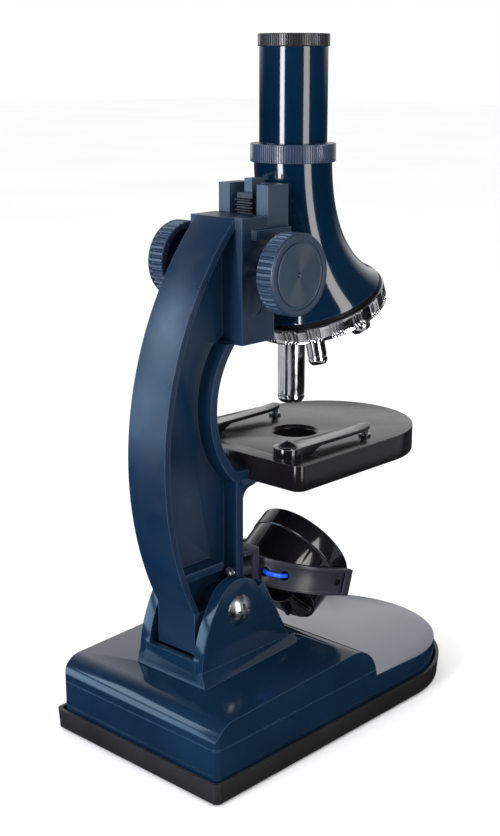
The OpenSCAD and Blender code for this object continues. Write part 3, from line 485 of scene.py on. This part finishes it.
def turned(r, z, angle):
    """Point at radius r, height z and angle about the Z axis."""
    return Vector((r * math.cos(angle), r * math.sin(angle), z))


def add_rings(bm, rings, close=False):
    """Skins rings of equally many points; a ring of one point is a pole; close joins last to first."""
    rows = [[bm.verts.new(p) for p in ring] for ring in rings]
    pairs = list(zip(rows, rows[1:])) + ([(rows[-1], rows[0])] if close else [])
    for a, b in pairs:
        n = max(len(a), len(b))
        for k in range(n):
            quad = [a[k % len(a)], a[(k + 1) % len(a)], b[(k + 1) % len(b)], b[k % len(b)]]
            bm.faces.new(list(dict.fromkeys(quad)))
    return bm


def rounded_path(points, radius, steps=5):
    """Replaces each inner corner of an (r, z) path by an arc; a point may carry its own radius."""
    out = [tuple(points[0][:2])]
    for i in range(1, len(points) - 1):
        a, b, c = (Vector(points[j][:2]) for j in (i - 1, i, i + 1))
        size = points[i][2] if len(points[i]) > 2 else radius
        u, v = (a - b), (c - b)
        reach = min(size, 0.49 * u.length, 0.49 * v.length)
        if size <= 0 or reach < 1e-6:
            out.append(tuple(b))
            continue
        u.normalize()
        v.normalize()
        for s in range(steps + 1):
            t = s / steps
            p = b + u * reach * (1 - t) ** 2 + v * reach * t ** 2
            out.append(tuple(p))
    out.append(tuple(points[-1][:2]))
    return out


def revolve(profile, place, steps=96, shift=None, closed=False):
    """Turns an (r, z) profile in millimetres about the Z axis of place. shift(r, z, angle) moves r."""
    rings = []
    for r, z in profile:
        if r < 1e-6:
            rings.append([place @ Vector((0, 0, z * MM))])
            continue
        ring = []
        for k in range(steps):
            a = TAU * k / steps
            rr = r + (shift(r, z, a) if shift else 0)
            ring.append(place @ (turned(rr, z, a) * MM))
        rings.append(ring)
    return add_rings(bmesh.new(), rings, closed)


def middle(node):
    """Middle of a node's box in millimetres."""
    low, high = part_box(node)
    return (low + high) / 2 / MM


def axis_place(origin, direction, up=(0, 1, 0)):
    """Matrix whose Z axis is direction; origin is in millimetres."""
    z = Vector(direction).normalized()
    x = Vector(up).cross(z).normalized()
    y = z.cross(x)
    turn = Matrix((x, y, z)).transposed().to_4x4()
    return Matrix.Translation(Vector(origin) * MM) @ turn


# ---------- places taken from the frame ----------

TUBE = middle("draw_tube")
TUBE_PLACE = Matrix.Translation(Vector((TUBE.x, TUBE.y, 0)) * MM)
TURN = JOINTS["turret_turn"]
TURRET = Vector(TURN["pos_m"]) / MM
TURRET_AXIS = Vector(TURN["axis"]).normalized()
TURRET_PLACE = axis_place(TURRET, TURRET_AXIS, (0, 1, 0))
TILT = math.atan2(TURRET_AXIS.y, TURRET_AXIS.z)
SHAFT = Vector(JOINTS["focus_knob"]["pos_m"]) / MM


# ---------- body tube ----------


def knurl(count, depth, r_min):
    """Grooves with flat lands between them, cut wherever the radius is above r_min."""

    def shift(r, z, a):
        off = abs((a / TAU * count) % 1.0 - 0.5)
        return -depth * min(1.0, max(0.0, (0.3 - off) / 0.15)) if r > r_min else 0

    return shift


def make_neck_ring():
    low, high = (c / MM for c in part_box("neck_ring"))
    r, inner = high.x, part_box("draw_tube")[1].x / MM + 0.04
    z0, z1 = low.z, high.z
    profile = [(inner, z1 - 0.5), (inner + 0.25, z1 - 0.1), (r - 1.1, z1), (r - 0.25, z1 - 0.02),
               (r, z1 - 0.22), (r, (z0 + z1) / 2), (r, z0 + 0.22), (r - 0.25, z0 + 0.02),
               (r - 0.8, z0), (inner, z0)]
    count = 104  # grooves
    bm = revolve(profile, TUBE_PLACE, count * 8, knurl(count, 0.45, r - 0.3), closed=True)
    piece("knurled_neck_ring", bm, "neck_ring", "navy_knurl_painted_sheen", smooth=40)


def make_cap():
    low, high = (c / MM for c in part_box("eyepiece_cap"))
    r, z0, z1 = high.x, low.z, high.z
    eye, dish = 4.2, 8.8
    profile = [(eye, z0), (r - 0.6, z0), (r - 0.2, z0 + 0.02), (r, z0 + 0.2),
               (r, (z0 + z1) / 2), (r, z1 - 0.22), (r - 0.25, z1 - 0.02), (r - 1.2, z1),
               (dish + 0.3, z1), (dish, z1 - 0.12), (eye + 2.2, z1 - 1.1),
               (eye + 0.2, z1 - 1.95), (eye, z1 - 2.2)]
    count = 92  # grooves
    bm = revolve(profile, TUBE_PLACE, count * 8, knurl(count, 0.42, r - 0.3), closed=True)
    piece("knurled_eyepiece_cap", bm, "eyepiece_cap", "black_knurl", smooth=40)


def make_draw_tube():
    low, high = (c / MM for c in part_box("draw_tube"))
    r, inner = high.x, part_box("eyepiece_barrel")[1].x / MM + 0.06
    profile = rounded_path([(inner, (low.z + high.z) / 2), (inner, high.z), (r, high.z, 0.25),
                            (r, low.z, 0.2), (inner, low.z)], 0.15, 3)
    bm = revolve(profile, TUBE_PLACE, 160, closed=True)
    piece("polished_draw_tube", bm, "draw_tube", "navy_gloss")


# ---------- head ----------

HEAD_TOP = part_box("head_body")[1].z / MM
NECK_R = 12.6
SKIRT_R = 22.3
# Middle of the skirt's lower edge, 1.3 mm above the turret
SKIRT = TURRET + 1.3 * TURRET_AXIS
# Thickness of the head's wall, and points in each of its rings
HEAD_WALL = 2.2
HEAD_STEPS = 160


def head_radius(t):
    """Outer radius of the head, t from 0 at the neck to 1 at the skirt."""
    return NECK_R + (SKIRT_R - NECK_R) * t ** 3.5


def head_y(t):
    """How far forward the middle of the head has leant at t."""
    return TUBE.y + (SKIRT.y - TUBE.y) * t ** 1.72


def head_ring(t, inset):
    """Ring t of the head's flared skin, moved in by inset."""
    tilt = TILT * t ** 2.6
    r = head_radius(t) - inset
    y = head_y(t)
    z = HEAD_TOP - (HEAD_TOP - SKIRT.z) * t
    ring = []
    for k in range(HEAD_STEPS):
        a = TAU * k / HEAD_STEPS
        p = Vector((r * math.cos(a), y + r * math.sin(a) * math.cos(tilt),
                    z - r * math.sin(a) * math.sin(tilt)))
        ring.append(p * MM)
    return ring


def socket_ring(r, z):
    """Level ring, r in radius, of the bore that holds the draw tube."""
    return [(Vector((0, TUBE.y, z)) + turned(r, 0, TAU * k / HEAD_STEPS)) * MM
            for k in range(HEAD_STEPS)]


def add_slide_pad(bm):
    """Block that joins the back of the head to the slide."""
    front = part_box("slide_block")[0].y / MM - 0.03
    half, levels = 6.0, 10
    low, high = 143.5, 179.0
    rows = []
    for i in range(levels + 1):
        z = low + (high - low) * i / levels
        t = (HEAD_TOP - z) / (HEAD_TOP - SKIRT.z)
        inside = head_y(t) + head_radius(t) - 2.0
        corners = ((-half, front), (-half, inside), (half, inside), (half, front))
        rows.append([bm.verts.new(Vector((x, y, z)) * MM) for x, y in corners])
    for a, b in zip(rows, rows[1:]):
        for k in range(4):
            bm.faces.new((a[k], a[(k + 1) % 4], b[(k + 1) % 4], b[k]))
    bm.faces.new(rows[0])
    bm.faces.new(list(reversed(rows[-1])))


def make_head():
    socket_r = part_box("draw_tube")[1].x / MM + 0.03
    socket_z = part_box("draw_tube")[0].z / MM
    socket_t = (HEAD_TOP - socket_z) / (HEAD_TOP - SKIRT.z)
    rows, inner_rows = 72, 20
    rings = [head_ring(0.97 * i / rows, 0) for i in range(rows + 1)]
    rings += [head_ring(0.985, 0), head_ring(1, 0.12), head_ring(1, 0.5), head_ring(1, HEAD_WALL)]
    rings += [head_ring(1 - (1 - socket_t) * i / inner_rows, HEAD_WALL)
              for i in range(1, inner_rows + 1)]
    rings += [socket_ring(socket_r, z) for z in (socket_z, HEAD_TOP)]
    bm = add_rings(bmesh.new(), rings, close=True)
    add_slide_pad(bm)
    piece("flared_head", bm, "head_body", "navy_gloss", smooth=40)


# ---------- turret ----------


def turret_flutes(r, thick):
    """Groups of four flutes round the rim of a disc, with plain stretches between the groups."""
    groups, per_group, share = 18, 4, 0.56
    steps = groups * 40

    def shift(rr, z, a):
        if rr < r - 0.3:
            return 0
        inside = min(1.0, max(0.0, (z + thick - 0.35) / 0.5), max(0.0, (-0.35 - z) / 0.5))
        u = (a / TAU * groups) % 1.0
        if u > share:
            return -0.25 * inside
        return -0.85 * inside * (0.5 - 0.5 * math.cos(TAU * per_group * u / share)) ** 0.8

    return steps, shift


def turret_top_painted_shade(centre, normal):
    """True on the upper face, which lies in the dark gap under the head; it gets black satin instead
    of chrome as painted shade of the head.
    """
    height = (centre - TURRET * MM).dot(TURRET_AXIS)
    return normal.dot(TURRET_AXIS) > 0.9 and height > -0.2 * MM


def make_turret():
    low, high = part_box("turret_disc")
    r = (high.x - low.x) / 2 / MM
    thick = 5.8
    levels = [-0.35, -0.6, -0.9, -1.8, -thick / 2, 1.8 - thick, 0.9 - thick, 0.6 - thick,
              0.35 - thick]
    profile = [(2.6, -0.02), (r - 1.0, -0.02), (r - 0.4, -0.1)]
    profile += [(r, z) for z in levels]
    profile += [(r - 0.15, 0.12 - thick), (r - 0.5, 0.04 - thick), (r - 1.8, 0.02 - thick),
                (6.5, 0.02 - thick), (6.2, 0.3 - thick), (2.6, 0.3 - thick)]
    steps, shift = turret_flutes(r, thick)
    bm = revolve(profile, TURRET_PLACE, steps, shift, closed=True)
    # The chrome upper face is painted black as the head's shadow falling on it.
    piece("fluted_turret", bm, "turret_disc", "chrome", smooth=38, second="black_satin",
          where=turret_top_painted_shade)


# Radius, length below the apex in millimetres, and turn about the turret's axis in degrees
OBJECTIVES = {"objective_long": (4.5, 64.2, 0), "objective_medium": (3.15, 51.6, 31.2),
              "objective_short": (3.6, 46.6, 90.9)}


def objective_profile(r, tip):
    """Outline of a barrel: shank in the turret, collar, groove near the tip and a dished mouth."""
    root, top, collar = 36.3, 39.6, 42.6
    inner = r - 1.0
    path = [(inner, -root), (r - 0.5, -root), (r - 0.5, -top, 0), (r, -top - 0.01, 0.1),
            (r, -collar, 0.1), (r + 0.25, -collar - 0.05, 0.1),
            (r + 0.25, -collar - 0.85, 0.1), (r, -collar - 0.9, 0.1)]
    if tip > collar + 4:
        path += [(r, 3.0 - tip, 0.1), (r - 0.18, 2.9 - tip, 0.1), (r - 0.18, 2.5 - tip, 0.1),
                 (r, 2.4 - tip, 0.1)]
    path += [(r, 1.3 - tip, 0.2), (r - 0.75, 0.15 - tip, 0.2), (r - 1.2, 0.02 - tip, 0.15),
             (1.5, 0.02 - tip, 0.1), (1.15, 0.7 - tip, 0.1), (1.0, 2.4 - tip), (inner, 2.6 - tip)]
    return rounded_path(path, 0.1, 4)


def make_objectives():
    """The barrels point away from the apex, where the turret's axis meets the tube's."""
    apex_z = TURRET.z + (TUBE.y - TURRET.y) / math.tan(TILT)
    apex = Matrix.Translation(Vector((0, TUBE.y, apex_z)) * MM)
    for node, (r, tip, turn) in OBJECTIVES.items():
        spin = Matrix.Rotation(math.radians(turn), 4, TURRET_AXIS)
        bm = revolve(objective_profile(r, tip), apex @ spin, 96, closed=True)
        piece(node + "_barrel", bm, node, "chrome")


# ---------- knobs ----------

KNOB_RIBS = 38


def knob_ribs(r, face):
    """Ribs round a knob of radius r, fading out below its face."""

    def shift(rr, z, a):
        if rr < r - 0.2:
            return 0
        inside = min(1.0, max(0.0, (face - 0.75 - z) / 0.5))
        wave = max(0.0, (math.cos(KNOB_RIBS * a) + 0.1) / 1.1) ** 0.7
        return -0.95 * inside * wave

    return shift


def turned_face(face, r_out, r_in, rings):
    """Shallow cone with fine turning marks, from its rim to its middle."""
    points = []
    for i in range(2 * rings):
        r = r_out - (r_out - r_in) * i / (2 * rings)
        points.append((r, face - 0.12 - 0.35 * (1 - r / r_out) - (0.012 if i % 2 else 0.0)))
    return points


def make_knob(node, side):
    """side is 1 for the knob on +X and -1 for the other."""
    low, high = (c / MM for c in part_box(node))
    face = max(abs(low.x), abs(high.x))
    hub_in = min(abs(low.x), abs(high.x))
    r = (high.z - low.z) / 2
    thick, hub_r, face_r = 6.55, 4.0, 9.6
    back = face - thick
    place = axis_place((0, SHAFT.y, SHAFT.z), (side, 0, 0), (0, 0, 1))
    hub = [(0, hub_in), (hub_r - 0.3, hub_in), (hub_r, hub_in + 0.3), (hub_r, face - 2.1),
           (10.2, face - 2.1), (10.4, face - 2.3), (10.4, back + 0.15), (10.55, back)]
    outer = [(r - 0.25, back), (r, back + 0.2)]
    outer += [(r, back + (thick - 1.5) * i / 5) for i in range(1, 6)]
    outer += [(r, face - 1.15), (r, face - 0.95), (r, face - 0.75), (r - 0.02, face - 0.5)]
    outer += [(r - 0.15, face - 0.2), (r - 0.45, face - 0.03), (r - 0.9, face)]
    groove = [(10.75, face), (10.6, face - 0.08), (10.45, face - 0.5), (10.0, face - 0.55),
              (9.85, face - 0.12), (9.7, face - 0.05)]
    centre = [(0.75, face - 0.5), (0.55, face - 0.75), (0.2, face - 0.95), (0, face - 1.0)]
    profile = hub + outer + groove + turned_face(face, face_r, 0.9, 44) + centre
    bm = revolve(profile, place, KNOB_RIBS * 12, knob_ribs(r, face))

    def on_face(c, n):
        off = math.hypot(c.y / MM - SHAFT.y, c.z / MM - SHAFT.z)
        return c.x * side / MM > face - 1.2 and off < face_r + 0.05

    piece("ribbed_" + node, bm, node, "navy_satin", smooth=45, second="navy_turned", where=on_face)


# ---------- lamp ----------

# Outer radius and middle of the lamp's mouth in millimetres, and its beam's rise in degrees
LAMP_R = 17.8
LAMP_MOUTH = Vector((0, -13.6, 52.9))
LAMP_RISE = 33


def make_lamp():
    up = math.radians(90 - LAMP_RISE)
    place = Matrix.Translation(LAMP_MOUTH * MM) @ Matrix.Rotation(up, 4, "X")
    rim = [(LAMP_R - 2.6, -0.8), (LAMP_R - 2.6, -0.25), (LAMP_R - 2.35, 0), (LAMP_R - 0.3, 0),
           (LAMP_R, -0.35), (LAMP_R - 0.15, -6.6), (LAMP_R - 0.45, -6.9), (LAMP_R - 2.0, -6.9),
           (LAMP_R - 2.0, -0.85)]
    bm = revolve(rounded_path(rim, 0.15, 3), place, 160, closed=True)
    piece("lamp_front_rim", bm, "lamp_rim", "black_gloss")


# ---------- base, arm, stage and other plain parts ----------

TRAY_LOW, TRAY_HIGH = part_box("base_tray")


def flared(p):
    """Draws the foot of the tray's outer wall in, so that its rim stands out."""
    lean = 0.9 * MM * (1 - (p.z - TRAY_LOW.z) / (TRAY_HIGH.z - TRAY_LOW.z))
    wall = 1.6 * MM
    half = TRAY_HIGH.x
    nose = TRAY_LOW.y + half
    x, y = p.x, p.y
    if abs(p.x) > half - wall:
        x = p.x - math.copysign(lean, p.x)
    if p.y > TRAY_HIGH.y - wall:
        y = p.y - lean
    elif p.y < nose:
        out = Vector((p.x, p.y - nose))
        if out.length > half - wall:
            out *= (out.length - lean) / out.length
            return Vector((out.x, out.y + nose, p.z))
    return Vector((x, y, p.z))


def on_plate(centre, normal):
    """True on the low flat top at the nose."""
    return normal.z > 0.99 and centre.y < -10.4 * MM and centre.z > 12 * MM


# CAD nodes that only need rounded edges: piece name, look and width of the rounding
SOFTENED = {
    "arm_frame": ("curved_arm", "navy_arm", 0.35),
    "stage": ("round_nosed_stage", "stage_black", 0.4),
    "yoke": ("lamp_yoke", "slate_satin", 0.2),
    "slide_block": ("focus_slide", "navy_satin", 0.3),
    "rack": ("focus_rack", "black_satin", 0.12),
    "stage_clip_left": ("left_stage_clip", "black_gloss", 0.2),
    "stage_clip_right": ("right_stage_clip", "black_gloss", 0.2),
    "lamp_cup": ("lamp_housing", "black_gloss", 0.25),
    "hinge_screw": ("hinge_bolt", "steel", 0.2),
    "hinge_nut": ("hinge_hex_nut", "steel", 0.25),
    "hinge_washers": ("hinge_spacers", "steel", 0.2),
    "clip_rivets": ("stage_clip_rivets", "black_gloss", 0.15),
}


def make_plain_parts():
    for node, (name, look, width) in SOFTENED.items():
        softened(node, name, look, width)
    softened("base_tray", "lipped_base_tray", "tray_black", 0.3, flared)
    softened("base_cover", "pedestal_cover", "navy_cover", 0.3, second="navy_plate", where=on_plate)


def finish_cad_nodes():
    """Gives every node that still shows the look of its material slot."""
    for name, obj in NODES.items():
        obj.data.materials.clear()
        obj.data.materials.append(LOOKS[slot_of(name)])


make_plain_parts()
make_neck_ring()
make_cap()
make_draw_tube()
make_head()
make_turret()
make_objectives()
make_knob("knob_right", 1)
make_knob("knob_left", -1)
make_lamp()
finish_cad_nodes()
